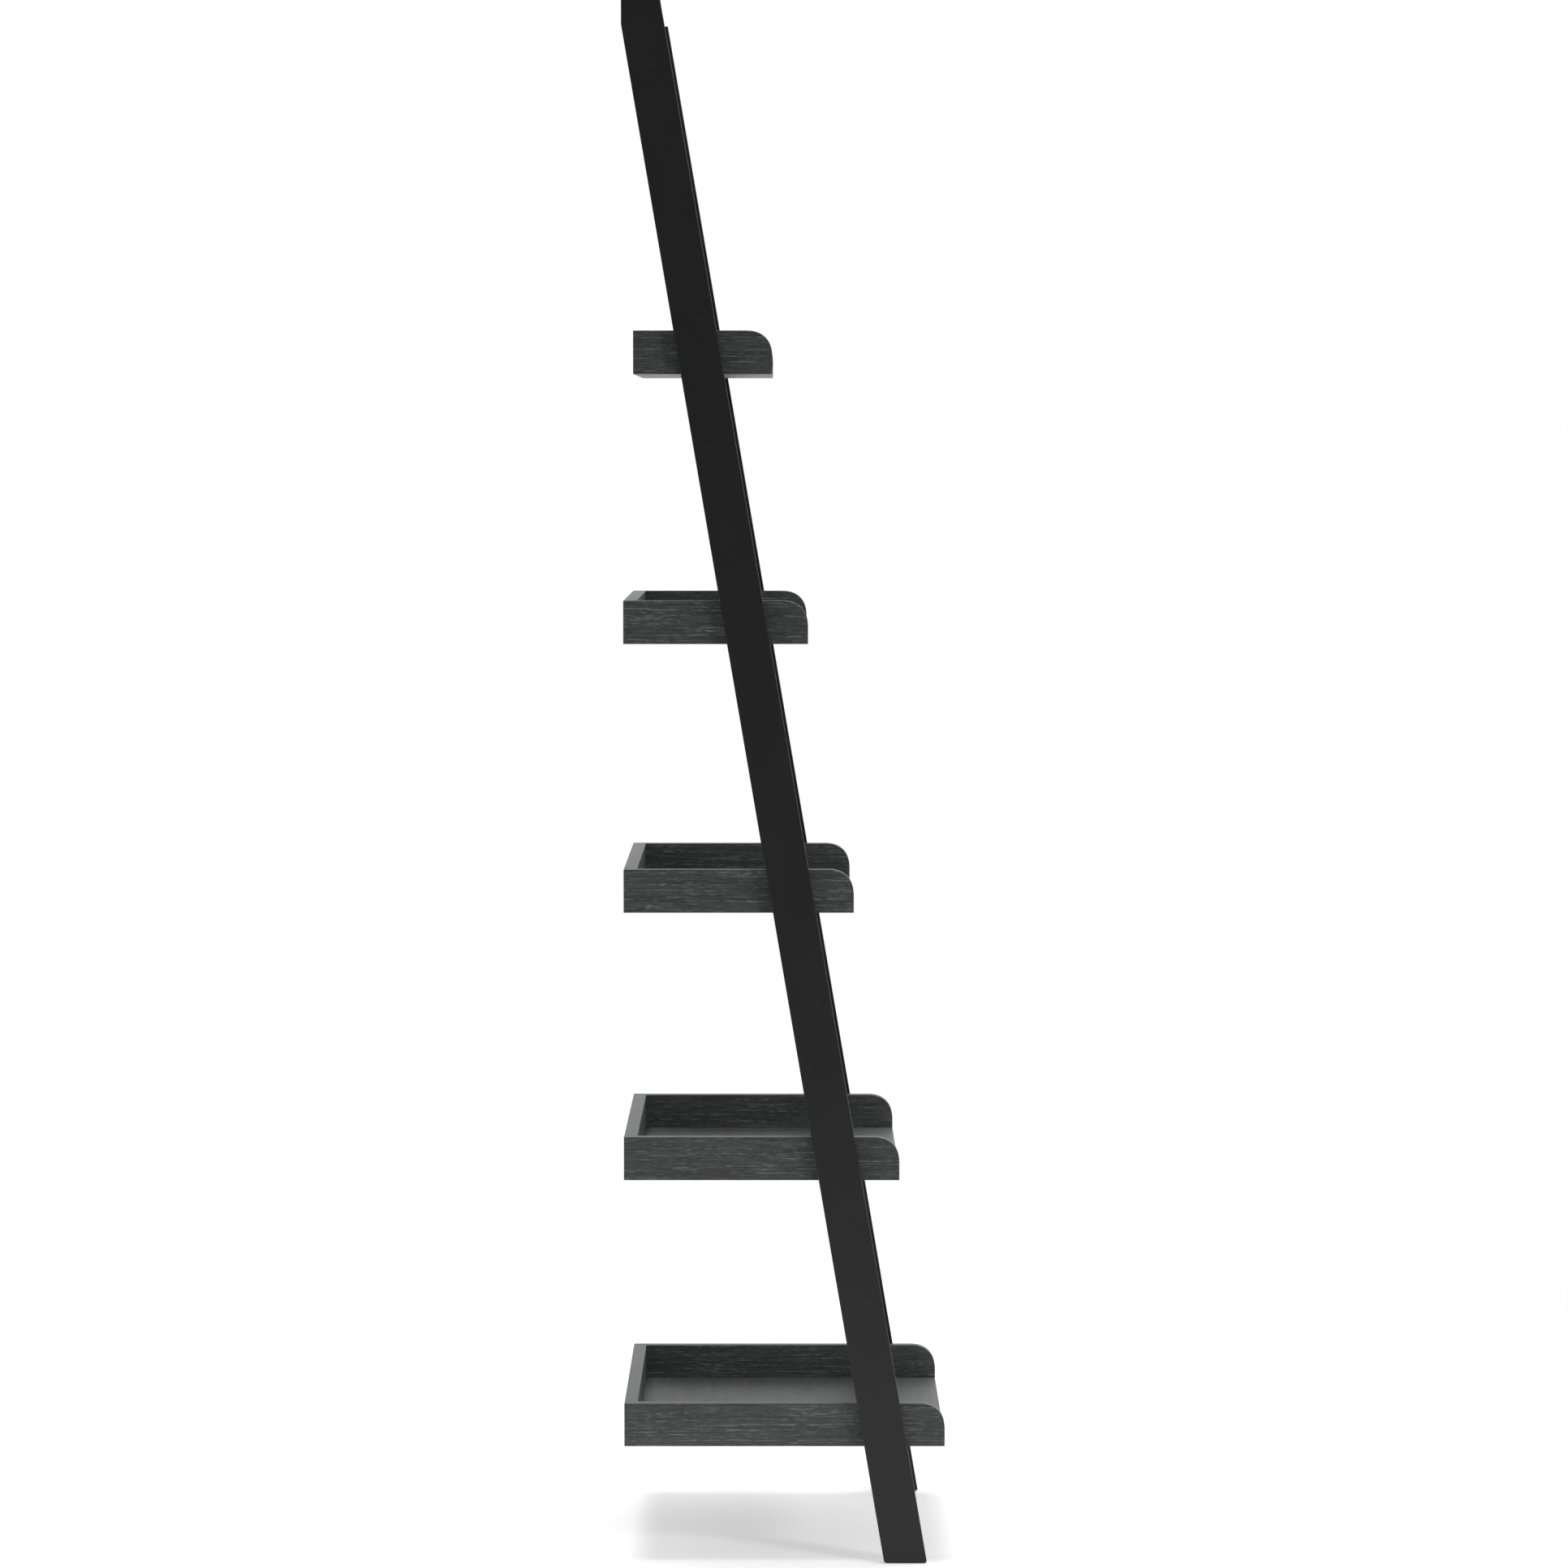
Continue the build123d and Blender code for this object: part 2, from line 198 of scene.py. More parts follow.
class ShelfStudio(bpy.types.PropertyGroup):
    """Camera, floor and light."""

    camera_distance: length("Camera distance", "From the shelf's middle to the camera", 8981.0)
    camera_height: length("Camera height", "Above the floor", 1596.5)
    camera_tilt: angle("Camera tilt", "Downwards from level", 3.205)
    lens: FloatProperty(
        name="Lens", description="Focal length in millimetres", default=141.12, min=1)
    floor_radius: length("Floor radius", "Of the pale round floor", 2600.0)
    floor_drop: length("Floor drop", "Hair's breadth from the pads down to the floor", 0.2)
    floor_glow: share("Floor glow", "Light that the white floor gives back everywhere", 0.385)
    floor_white: share("Floor white", "How much light the floor reflects", 0.80)
    room: share("Room light", "Even light from the whole room", 0.25)
    backdrop: share("Backdrop light", "More light from behind the shelf", 0.89)
    top_light: strength("Top light", "From overhead", 1.37)
    top_angle: angle("Top light size", "Angle that it fills", 22)
    top_tilt: angle("Top light tilt", "From straight up towards the wall", 4)
    key_light: strength("Key light", "From low in front, on the camera's side", 0.68)
    key_angle: angle("Key light size", "Angle that it fills", 10)
    key_turn: angle("Key light turn", "From the camera's direction to the front", 45)
    key_rise: angle("Key light rise", "Above level", 27)
    panel_angle: angle("Panel size", "Angle that each of the broad panels fills", 30)
    low_rise: angle("Low panel rise", "Above level", 15)
    wall_panel: strength("Wall side panel", "Broad and low, along the wall", 0.60)
    wall_turn: angle("Wall side panel turn", "From the camera's direction to the wall", 68)
    front_panel: strength("Front panel", "Broad and low, from in front", 0.30)
    front_turn: angle("Front panel turn", "From the camera's direction to the front", 50)
    far_panel: strength("Far panel", "Broad, from in front on the far side", 0.23)
    far_turn: angle("Far panel turn", "From the camera's direction to the front", 115)
    far_rise: angle("Far panel rise", "Above level", 38)


# ---- modelling helpers --------------------------------------------------------------------------

def deselect_all():
    bpy.ops.object.select_all(action="DESELECT")


def make_active(piece):
    deselect_all()
    piece.select_set(True)
    bpy.context.view_layer.objects.active = piece


def settle(name):
    """Names the newly added primitive and puts its place, turn and size in its mesh."""
    piece = bpy.context.active_object
    piece.name = name
    piece.data.name = name
    bpy.ops.object.transform_apply(location=True, rotation=True, scale=True)
    return piece


def block(name, low, high):
    """A box between two corners, to be shaped further."""
    deselect_all()
    low, high = Vector(low), Vector(high)
    bpy.ops.mesh.primitive_cube_add(size=1, location=(low + high) / 2, scale=high - low)
    return settle(name)


def bar(name, start, end, radius, sides=ROUND_SIDES):
    """A round bar along X or Y between two points, to be shaped further."""
    deselect_all()
    start, end = Vector(start), Vector(end)
    way = end - start
    bpy.ops.mesh.primitive_cylinder_add(
        vertices=sides, radius=radius, depth=way.length, location=(start + end) / 2,
        rotation=way.to_track_quat("Z", "Y").to_euler(),
    )
    return settle(name)


class Editing:
    """Edit mode on one piece. pick selects its parts by place or direction."""

    def __init__(self, piece):
        self.piece = piece

    def __enter__(self):
        make_active(self.piece)
        bpy.ops.object.mode_set(mode="EDIT")
        return self

    def __exit__(self, *problem):
        bpy.ops.object.mode_set(mode="OBJECT")

    def pick(self, kind, test):
        """Selects the vertices, edges or faces that pass the test, and nothing else."""
        bpy.ops.mesh.select_mode(type={"verts": "VERT", "edges": "EDGE", "faces": "FACE"}[kind])
        bpy.ops.mesh.select_all(action="DESELECT")
        mesh = bmesh.from_edit_mesh(self.piece.data)
        mesh.normal_update()
        chosen = [part for part in getattr(mesh, kind) if test(part)]
        for part in chosen:
            part.select_set(True)
        mesh.select_flush_mode()
        bmesh.update_edit_mesh(self.piece.data)
        if not chosen:
            raise RuntimeError(f"{self.piece.name}: no {kind} where they were looked for")


def close(a, b):
    return abs(a - b) < SAME_PLACE


def middle(edge):
    return (edge.verts[0].co + edge.verts[1].co) / 2


def edge_way(edge):
    return (edge.verts[1].co - edge.verts[0].co).normalized()


def runs_along(edge, axis):
    """Whether an edge is parallel to X, Y or Z: axis is 0, 1 or 2."""
    return abs(edge_way(edge)[axis]) > SAME_WAY


def facing(face, way):
    return face.normal.dot(Vector(way)) > SAME_WAY


def round_edges(radius, steps, profile=0.5):
    """Rounds the edges that are picked."""
    bpy.ops.mesh.bevel(offset_type="OFFSET", offset=radius, segments=steps, profile=profile,
                       affect="EDGES")


def apply_modifier(piece, kind, **settings):
    """Adds a modifier with these settings and applies it."""
    make_active(piece)
    bpy.ops.object.modifier_add(type=kind)
    modifier = piece.modifiers[-1]
    for name, value in settings.items():
        setattr(modifier, name, value)
    bpy.ops.object.modifier_apply(modifier=modifier.name)


def soften(piece, width, steps=3):
    """Rounds every sharp edge by the same small radius."""
    apply_modifier(
        piece, "BEVEL", width=width, segments=steps, limit_method="ANGLE", angle_limit=SHARP,
        use_clamp_overlap=True,
    )


def smooth(piece):
    """Shades the rounded edges smoothly and keeps the flats flat."""
    make_active(piece)
    bpy.ops.object.shade_smooth_by_angle(angle=BLUNT)
    apply_modifier(piece, "WEIGHTED_NORMAL", keep_sharp=True)


def cut_away(piece, *tools):
    """Cuts the tools out of the piece, and throws them away."""
    for tool in tools:
        apply_modifier(piece, "BOOLEAN", operation="DIFFERENCE", solver="EXACT", object=tool)
        bpy.data.objects.remove(tool)


def join(name, pieces):
    """Makes one piece of several."""
    deselect_all()
    for piece in pieces:
        piece.select_set(True)
    bpy.context.view_layer.objects.active = pieces[0]
    bpy.ops.object.join()
    pieces[0].name = name
    pieces[0].data.name = name
    return pieces[0]


def copy_at(piece, place, turned=0.0):
    """A copy with its own mesh, turned about Z and then moved."""
    copy = piece.copy()
    copy.data = piece.data.copy()
    copy.data.transform(Matrix.Translation(place) @ Matrix.Rotation(turned, 4, "Z"))
    bpy.context.scene.collection.objects.link(copy)
    return copy


def lay_grain(piece, along, through, lane, path=None):
    """A UV map in metres, with U along the grain and V across it, on the board's own faces and
    edges. through is the board's thickness, lane keeps each board's pattern its own, and path
    gives U where an edge runs round a curve. It also marks the worn edges, and the edge faces
    that take fewer pale pores and the painted highlight."""
    along, through = Vector(along).normalized(), Vector(through).normalized()
    across = through.cross(along)
    mesh = piece.data
    grain = mesh.uv_layers.new(name=GRAIN_MAP).uv
    wear = mesh.attributes.new(WEAR, "FLOAT", "CORNER").data
    band = mesh.attributes.new(EDGE_BAND_AND_HIGHLIGHT, "FLOAT", "CORNER").data
    for face in mesh.polygons:
        level = abs(face.normal.dot(through))
        tangent = through.cross(face.normal)
        for corner in face.loop_indices:
            place = mesh.vertices[mesh.loops[corner].vertex_index].co
            if level > BOARD_FACE:
                u, v = place.dot(along), place.dot(across)
            else:
                u = path(place, face.normal) if path else place.dot(tangent.normalized())
                v = place.dot(through)
            grain[corner].vector = (u + LANE_ALONG * lane, v + LANE_ACROSS * lane)
            wear[corner].value = float(WORN_EDGE[0] < level < WORN_EDGE[1])
            band[corner].value = float(level < BOARD_FACE)


def hand_over(piece, slot, material, *nodes):
    """Gives a finished piece its finish and its body, and hides the CAD nodes that it stands for.
    """
    piece.data.materials.clear()
    piece.data.materials.append(material)
    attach(piece, BODY)
    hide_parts(*nodes)


# ---- materials ----------------------------------------------------------------------------------

def find_socket(sockets, key):
    """A socket by its number, identifier or name."""
    if isinstance(key, int):
        return sockets[key]
    by_identifier = [s for s in sockets if s.identifier == key]
    return (by_identifier or [s for s in sockets if s.name == key])[0]


class Value:
    """A socket of a material. Arithmetic on it adds Math nodes."""

    def __init__(self, finish, socket):
        self.finish = finish
        self.socket = socket

    def math(self, operation, first, second, clamp=False):
        settings = {"operation": operation, "use_clamp": clamp}
        return self.finish.add("ShaderNodeMath", settings, {0: first, 1: second})

    def __add__(self, other):
        return self.math("ADD", self, other)

    def __radd__(self, other):
        return self.math("ADD", other, self)

    def __sub__(self, other):
        return self.math("SUBTRACT", self, other)

    def __rsub__(self, other):
        return self.math("SUBTRACT", other, self)

    def __mul__(self, other):
        return self.math("MULTIPLY", self, other)

    def __rmul__(self, other):
        return self.math("MULTIPLY", other, self)

    def clamped(self):
        return self.math("ADD", self, 0.0, clamp=True)

    def between(self, low, high):
        """0 below low, 1 above high, and a smooth step from one to the other."""
        return self.finish.add(
            "ShaderNodeMapRange", {"interpolation_type": "SMOOTHSTEP"},
            {"Value": self, "From Min": low, "From Max": high},
        )


class Finish:
    """A material or a world, and its nodes."""

    def __init__(self, owner):
        owner.use_nodes = True
        self.owner = owner
        self.tree = owner.node_tree
        self.tree.nodes.clear()

    @classmethod
    def of_material(cls, name):
        return cls(bpy.data.materials.new(name))

    def add(self, kind, settings=None, inputs=None, output=0):
        """Adds a node: its settings are set first, then the values or links of its sockets."""
        node = self.tree.nodes.new(kind)
        for name, value in (settings or {}).items():
            setattr(node, name, value)
        for key, value in (inputs or {}).items():
            socket = find_socket(node.inputs, key)
            if isinstance(value, Value):
                self.tree.links.new(value.socket, socket)
            else:
                socket.default_value = value
        return None if output is None else Value(self, find_socket(node.outputs, output))

    def grain(self):
        """The place on a board, in metres along and across its grain."""
        return self.add("ShaderNodeUVMap", {"uv_map": GRAIN_MAP})

    def place(self):
        """The place on the shelf, in metres."""
        return self.add("ShaderNodeTexCoord", output="Object")

    def attribute(self, name):
        return self.add("ShaderNodeAttribute", {"attribute_name": name}, output="Fac")

    def stretched(self, vector, scale, shift=(0, 0, 0)):
        """The vector with its scale: features to a metre in each direction."""
        return self.add("ShaderNodeMapping", None,
                        {"Vector": vector, "Scale": scale, "Location": shift})

    def noise(self, vector, detail=3.0, roughness=0.55):
        """Noise about 0.5. The vector already has its scale, in features to a metre."""
        return self.add("ShaderNodeTexNoise", None, {
            "Vector": vector, "Scale": 1.0, "Detail": detail, "Roughness": roughness,
        })

    def mix(self, amount, low, high):
        """Mixes two colours."""
        return self.add(
            "ShaderNodeMix", {"data_type": "RGBA"},
            {"Factor_Float": amount, "A_Color": solid(low), "B_Color": solid(high)},
            "Result_Color",
        )

    def bump(self, height, distance, strength=1.0):
        return self.add("ShaderNodeBump", None,
                        {"Height": height, "Distance": distance, "Strength": strength})

    def surface(self, **inputs):
        """The shader and the output. Input names use _ for a space."""
        named = {name.replace("_", " "): value for name, value in inputs.items()}
        shader = self.add("ShaderNodeBsdfPrincipled", None, named)
        self.add("ShaderNodeOutputMaterial", None, {"Surface": shader}, output=None)
        return self.owner


def solid(value):
    """A colour with its alpha, or a link as it is."""
    return value if isinstance(value, Value) else (*value, 1.0)


def finish_once(name, make):
    """A finish that several steps share, made the first time that it is wanted."""
    return bpy.data.materials.get(name) or make(Finish.of_material(name))


def painted_rail():
    """Satin black paint, rolled smooth, with faint grain under it and some rubbing on the edges."""
    colours = bpy.context.scene.shelf_colours

    def make(finish):
        grain = finish.grain()
        under = finish.noise(finish.stretched(grain, (9, 210, 1)), detail=3)
        peel = finish.noise(finish.stretched(grain, (900, 900, 1)), detail=1)
        handled = finish.noise(finish.stretched(grain, (7, 16, 1)), detail=4, roughness=0.6)
        rubbed = finish.noise(finish.stretched(grain, (45, 160, 1)), detail=4)
        worn = finish.attribute(WEAR) * rubbed.between(0.42, 0.68) * 0.6
        tone = 0.35 * under + 0.65 * handled
        darker = [0.84 * part for part in colours.paint]
        lighter = [1.22 * part for part in colours.paint]
        paint = finish.mix(tone.between(0.3, 0.7), darker, lighter)
        return finish.surface(
            Base_Color=finish.mix(worn, paint, colours.paint_rubbed),
            Roughness=0.36 + 0.12 * handled + 0.05 * peel - 0.06 * worn,
            Specular_IOR_Level=0.43,
            Normal=finish.bump(0.7 * peel + 0.3 * under, 0.12 * MM, 0.35),
        )

    return finish_once("satin_black_paint", make)


def tray_wood(board="side"):
    """Open-pored wood with a charcoal stain: soft bands, short streaks and pale pores in clusters
    along the grain, under a thin satin lacquer. Tray floors are filled and rubbed smoother, with
    fewer pale pores; their paler colour is painted light from above. The paler colour on the
    boards' edges is a painted highlight."""
    colours = bpy.context.scene.shelf_colours
    smoother_floor_painted_lighter = board == "floor"
    # Floors take paler colours: painted light standing in for the light from above.
    dark = colours.floor_stain_painted_lighter if smoother_floor_painted_lighter else colours.stain
    light = colours.floor_pale_stain_painted_lighter if smoother_floor_painted_lighter else colours.stain_light
    flecks = colours.flecks * (0.3 if smoother_floor_painted_lighter else 1.0)
    drift_across = 7 * MM

    def make(finish):
        grain = finish.grain()
        drift = finish.noise(finish.stretched(grain, (5, 14, 1)), detail=2)
        drift_ways = finish.add("ShaderNodeCombineXYZ", None, {"X": drift, "Y": drift, "Z": drift})
        bent = finish.add(
            "ShaderNodeVectorMath", {"operation": "MULTIPLY_ADD"},
            {0: drift_ways, 1: (0, drift_across, 0), 2: grain},
        )
        bands = finish.noise(finish.stretched(bent, (5, 70, 1)), detail=3, roughness=0.6)
        streaks = finish.noise(finish.stretched(bent, (28, 640, 1)), detail=4, roughness=0.7)
        lines = finish.noise(finish.stretched(bent, (9, 400, 1), (3.1, 1.7, 0)), detail=2)
        dashes = finish.noise(finish.stretched(bent, (70, 300, 1), (7.3, 2.9, 0)), detail=3)
        pores = finish.noise(finish.stretched(bent, (90, 900, 1)), detail=3)
        cracks = finish.noise(finish.stretched(bent, (10, 480, 1), (1.3, 8.1, 0)), detail=2)
        edge = finish.attribute(EDGE_BAND_AND_HIGHLIGHT)

        tone = 0.3 * bands + 0.7 * streaks
        stain = finish.mix(tone.between(0.36, 0.64), dark, light)
        stain = finish.mix(0.7 * cracks.between(0.58, 0.66), stain, dark)
        # Every edge face is painted paler: a painted highlight for the light that the edges catch.
        stain = finish.mix(0.85 * edge, stain, colours.edge_painted_highlight)
        pale = lines.between(0.50, 0.66) * dashes.between(0.40, 0.60)
        pale = pale + 0.5 * pores.between(0.56, 0.66)
        pale = (pale * flecks * (1 - 0.7 * edge)).clamped()
        return finish.surface(
            Base_Color=finish.mix(pale, stain, colours.fleck),
            Roughness=0.40 + 0.14 * streaks + 0.06 * pale,
            Specular_IOR_Level=0.28,
            Normal=finish.bump(0.6 * streaks - 0.5 * pale, 0.15 * MM, 0.5),
        )

    return finish_once(f"charcoal_tray_{board}_wood", make)


def black_steel():
    """Blackened steel, a little uneven, lighter in patches."""
    colours = bpy.context.scene.shelf_colours

    def make(finish):
        place = finish.place()
        mottle = finish.noise(finish.stretched(place, (260, 260, 260)), detail=4)
        fine = finish.noise(finish.stretched(place, (2400, 2400, 2400)), detail=2)
        lighter = [2.2 * part for part in colours.steel]
        return finish.surface(
            Base_Color=finish.mix(mottle.between(0.35, 0.7), colours.steel, lighter),
            Metallic=0.75 + 0.2 * mottle,
            Roughness=0.32 + 0.22 * mottle,
            Normal=finish.bump(fine, 0.03 * MM, 0.4),
        )

    return finish_once("blackened_steel", make)


def powder_coat():
    """Fine-grained black powder coat, a little lighter in patches."""
    colours = bpy.context.scene.shelf_colours

    def make(finish):
        place = finish.place()
        grit = finish.noise(finish.stretched(place, (1500, 1500, 1500)), detail=2)
        patches = finish.noise(finish.stretched(place, (60, 60, 60)), detail=3)
        lighter = [1.6 * part for part in colours.powder]
        return finish.surface(
            Base_Color=finish.mix(patches, colours.powder, lighter),
            Roughness=0.46 + 0.18 * grit,
            Normal=finish.bump(grit, 0.08 * MM, 0.5),
        )

    return finish_once("black_powder_coat", make)


def pad_rubber():
    """Dull black rubber with a little dust on it."""
    colours = bpy.context.scene.shelf_colours

    def make(finish):
        place = finish.place()
        fine = finish.noise(finish.stretched(place, (1100, 1100, 1100)), detail=3)
        dust = finish.noise(finish.stretched(place, (140, 140, 140)), detail=3)
        lighter = [2.0 * part for part in colours.rubber]
        return finish.surface(
            Base_Color=finish.mix(dust.between(0.4, 0.8), colours.rubber, lighter),
            Roughness=0.75 + 0.15 * fine,
            Normal=finish.bump(fine, 0.06 * MM, 0.5),
        )

    return finish_once("foot_pad_rubber", make)


def turned_brass():
    """Brass with the fine rings of the lathe, tarnished in patches."""
    colours = bpy.context.scene.shelf_colours

    def make(finish):
        place = finish.place()
        rings = finish.noise(finish.stretched(place, (3200, 120, 120)), detail=2)
        tarnish = finish.noise(finish.stretched(place, (220, 220, 220)), detail=4)
        darker = [0.6 * part for part in colours.brass]
        return finish.surface(
            Base_Color=finish.mix(tarnish.between(0.4, 0.75), colours.brass, darker),
            Metallic=1.0,
            Roughness=0.25 + 0.2 * rings,
            Normal=finish.bump(rings, 0.04 * MM, 0.6),
        )

    return finish_once("turned_brass", make)


def beech_dowel():
    """Bare beech, with its fibres along the dowel."""
    colours = bpy.context.scene.shelf_colours

    def make(finish):
        place = finish.place()
        fibres = finish.noise(finish.stretched(place, (45, 1400, 1400)), detail=3)
        rays = finish.noise(finish.stretched(place, (300, 900, 900)), detail=2)
        darker = [0.66 * part for part in colours.beech]
        tone = 0.7 * fibres + 0.3 * rays
        return finish.surface(
            Base_Color=finish.mix(tone.between(0.3, 0.7), darker, colours.beech),
            Roughness=0.62 + 0.15 * fibres,
            Normal=finish.bump(fibres, 0.08 * MM, 0.5),
        )

    return finish_once("beech_dowel", make)


def white_floor(studio):
    """A white studio floor, lit a little from below so that it stays white."""
    finish = Finish.of_material("white_floor")
    cloudy = finish.noise(finish.stretched(finish.place(), (1.5, 1.5, 1.5)), detail=2)
    white = [studio.floor_white] * 3
    paler = [min(1.0, 1.02 * part) for part in white]
    return finish.surface(
        Base_Color=finish.mix(cloudy, white, paler),
        Roughness=0.9,
        Specular_IOR_Level=0.0,
        Emission_Color=(1, 1, 1, 1),
        Emission_Strength=studio.floor_glow,
    )


# ---- pieces -------------------------------------------------------------------------------------

def other_hand(piece, name):
    """The mirrored copy for the left side."""
    copy = piece.copy()
    copy.data = piece.data.copy()
    copy.name = name
    copy.data.name = name
    copy.data.transform(Matrix.Scale(-1, 4, (1, 0, 0)))
    copy.data.flip_normals()
    bpy.context.scene.collection.objects.link(copy)
    return copy


def fittings_as_cutter(node):
    """A merged copy of the CAD fittings, with their flat ends whole, to drill a board with."""
    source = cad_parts[node]
    cutter = bpy.data.objects.new(node + "_cutter", source.data.copy())
    bpy.context.scene.collection.objects.link(cutter)
    with Editing(cutter):
        bpy.ops.mesh.select_all(action="SELECT")
        bpy.ops.mesh.remove_doubles(threshold=SAME_POINT)
        bpy.ops.mesh.dissolve_limited(angle_limit=FLAT)
    return cutter


def pair_places(box, head):
    """(y, z) of two fittings side by side, from the box round them and the radius of a head."""
    low, high = box
    level = (low.z + high.z) / 2
    return [(low.y + head, level), (high.y - head, level)]


def bolt_places(tray):
    """(y, z) of the two bolts in each side of a tray."""
    return pair_places(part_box(f"{tray}_bolts"), bpy.context.scene.shelf_sizes.bolt_head)


def screw_places():
    """(y, z) of the two screws in each wall bracket."""
    return pair_places(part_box("bracket_screws"), bpy.context.scene.shelf_sizes.screw_head)


def rail_lean():
    """How far a rail leans back for each metre that it rises."""
    sizes = bpy.context.scene.shelf_sizes
    low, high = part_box("right_rail")
    foot_back = low.y + sizes.rail_depth
    return (high.y - foot_back) / (high.z - sizes.wall_cut - low.z)


def model_rail():
    """The right rail: a leaning board, cut level at both ends and upright against the wall."""
    sizes = bpy.context.scene.shelf_sizes
    low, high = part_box("right_rail")
    rail = block("right_rail_board", low, (high.x, low.y + sizes.rail_depth, high.z))
    with Editing(rail) as edit:
        edit.pick("faces", lambda face: facing(face, (0, 0, 1)))
        bpy.ops.transform.translate(value=(0, rail_lean() * (high.z - low.z), 0))
        bpy.ops.mesh.select_all(action="SELECT")
        bpy.ops.mesh.bisect(plane_co=high, plane_no=(0, 1, 0), use_fill=True, clear_outer=True)
    soften(rail, sizes.rail_edge)
    start = low.x - OVERRUN
    pocket_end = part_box("right_rail_inserts")[1].x + sizes.insert_end_gap
    screw_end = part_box("bracket_screws")[1].x
    for tray in TRAYS:
        for y, z in bolt_places(tray):
            cut_away(rail, bar(
                "pocket", (start, y, z), (pocket_end, y, z), sizes.insert_radius, HOLE_SIDES))
    for y, z in screw_places():
        cut_away(rail, bar(
            "pilot", (start, y, z), (screw_end, y, z), sizes.screw_radius, PILOT_SIDES))
    return rail


def model_tray_side(tray):
    """A tray's right side board, with its soft front corner."""
    sizes = bpy.context.scene.shelf_sizes
    low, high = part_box(f"{tray}_right_side")
    side = block(f"{tray}_right_side_board", low, high)
    with Editing(side) as edit:
        edit.pick("edges", lambda edge: (
            close(middle(edge).y, low.y) and close(middle(edge).z, high.z)))
        round_edges(sizes.corner, sizes.corner_steps, sizes.corner_fullness)
    soften(side, sizes.board_edge)
    cut_away(side, fittings_as_cutter(f"{tray}_dowels"))
    start, end = low.x - OVERRUN, high.x + OVERRUN
    hole_radius = sizes.bolt_radius + sizes.bolt_clearance
    for y, z in bolt_places(tray):
        cut_away(side, bar("bolt_hole", (start, y, z), (end, y, z), hole_radius, HOLE_SIDES))
    return side


def way_round_side(low, high, corner):
    """The distance round a side board's edge, unbroken from its foot over the soft corner."""
    centre_y, centre_z = low.y + corner, high.z - corner

    def path(place, normal):
        if normal.z < -MOSTLY:
            return place.y
        if normal.y > MOSTLY:
            return place.z
        if place.z < centre_z:
            return place.z - centre_z
        if place.y > centre_y:
            return corner * math.pi / 2 + place.y - centre_y
        return corner * math.atan2(place.z - centre_z, centre_y - place.y)

    return path


def model_tray_floor(tray):
    """A tray's floor, with its front edge eased."""
    sizes = bpy.context.scene.shelf_sizes
    low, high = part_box(f"{tray}_floor")
    floor = block(f"{tray}_floor_board", low, high)
    with Editing(floor) as edit:
        edit.pick("edges", lambda edge: runs_along(edge, 0) and close(middle(edge).y, low.y))
        round_edges(sizes.board_edge, 3)
    soften(floor, sizes.joint_edge, 2)
    cut_away(floor, fittings_as_cutter(f"{tray}_dowels"))
    return floor


def model_tray_back(tray):
    """A tray's back board, with its upper and outer edges eased."""
    sizes = bpy.context.scene.shelf_sizes
    low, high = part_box(f"{tray}_back")
    back = block(f"{tray}_back_board", low, high)
    with Editing(back) as edit:
        edit.pick("edges", lambda edge: runs_along(edge, 0) and (
            close(middle(edge).z, high.z) or close(middle(edge).y, high.y)))
        round_edges(sizes.board_edge, 3)
    soften(back, sizes.joint_edge, 2)
    cut_away(back, fittings_as_cutter(f"{tray}_dowels"))
    return back


def model_bolt(seat, tip):
    """A flat-headed socket bolt along +X, on the X axis."""
    sizes = bpy.context.scene.shelf_sizes
    head_start = seat - sizes.bolt_head_height
    bolt = bar("bolt", (head_start, 0, 0), (seat, 0, 0), sizes.bolt_head)
    with Editing(bolt) as edit:
        edit.pick("faces", lambda face: facing(face, (1, 0, 0)))
        grow_shank(sizes.bolt_head, sizes.bolt_radius, tip - seat, sizes.bolt_tip)
        edit.pick("edges", lambda edge: all(close(v.co.x, head_start) for v in edge.verts))
        round_edges(sizes.bolt_head_edge, 3)
    start, end = head_start - OVERRUN, head_start + sizes.bolt_socket_depth
    socket_radius = sizes.bolt_socket / math.sqrt(3)
    cut_away(bolt, bar("socket", (start, 0, 0), (end, 0, 0), socket_radius, sides=6))
    smooth(bolt)
    return bolt


def grow_shank(head_radius, shank_radius, run, tip):
    """Draws a shank out of the picked underside of a head, along +X, with a tapered tip."""
    bpy.ops.mesh.inset(thickness=head_radius - shank_radius, depth=0)
    bpy.ops.mesh.extrude_region_move(TRANSFORM_OT_translate={"value": (run - tip, 0, 0)})
    bpy.ops.mesh.extrude_region_move(TRANSFORM_OT_translate={"value": (tip, 0, 0)})
    narrow = 1 - TIP_TAPER * tip / shank_radius
    bpy.ops.transform.resize(value=(1, narrow, narrow), center_override=(0, 0, 0))


def model_screw(seat, tip):
    """A round-headed cross-slotted wood screw along +X, on the X axis."""
    sizes = bpy.context.scene.shelf_sizes
    head_start = seat - sizes.screw_head_height
    screw = bar("screw", (head_start, 0, 0), (seat, 0, 0), sizes.screw_head)
    with Editing(screw) as edit:
        edit.pick("faces", lambda face: facing(face, (1, 0, 0)))
        grow_shank(sizes.screw_head, sizes.screw_radius, tip - seat, sizes.screw_tip)
        edit.pick("edges", lambda edge: all(close(v.co.x, head_start) for v in edge.verts))
        round_edges(sizes.screw_dome * sizes.screw_head_height, 8)
    start, end = head_start - OVERRUN, head_start + sizes.slot_depth
    long, wide = sizes.slot_length / 2, sizes.slot_width / 2
    for across, tall in ((long, wide), (wide, long)):
        cut_away(screw, block("slot", (start, -across, -tall), (end, across, tall)))
    smooth(screw)
    return screw


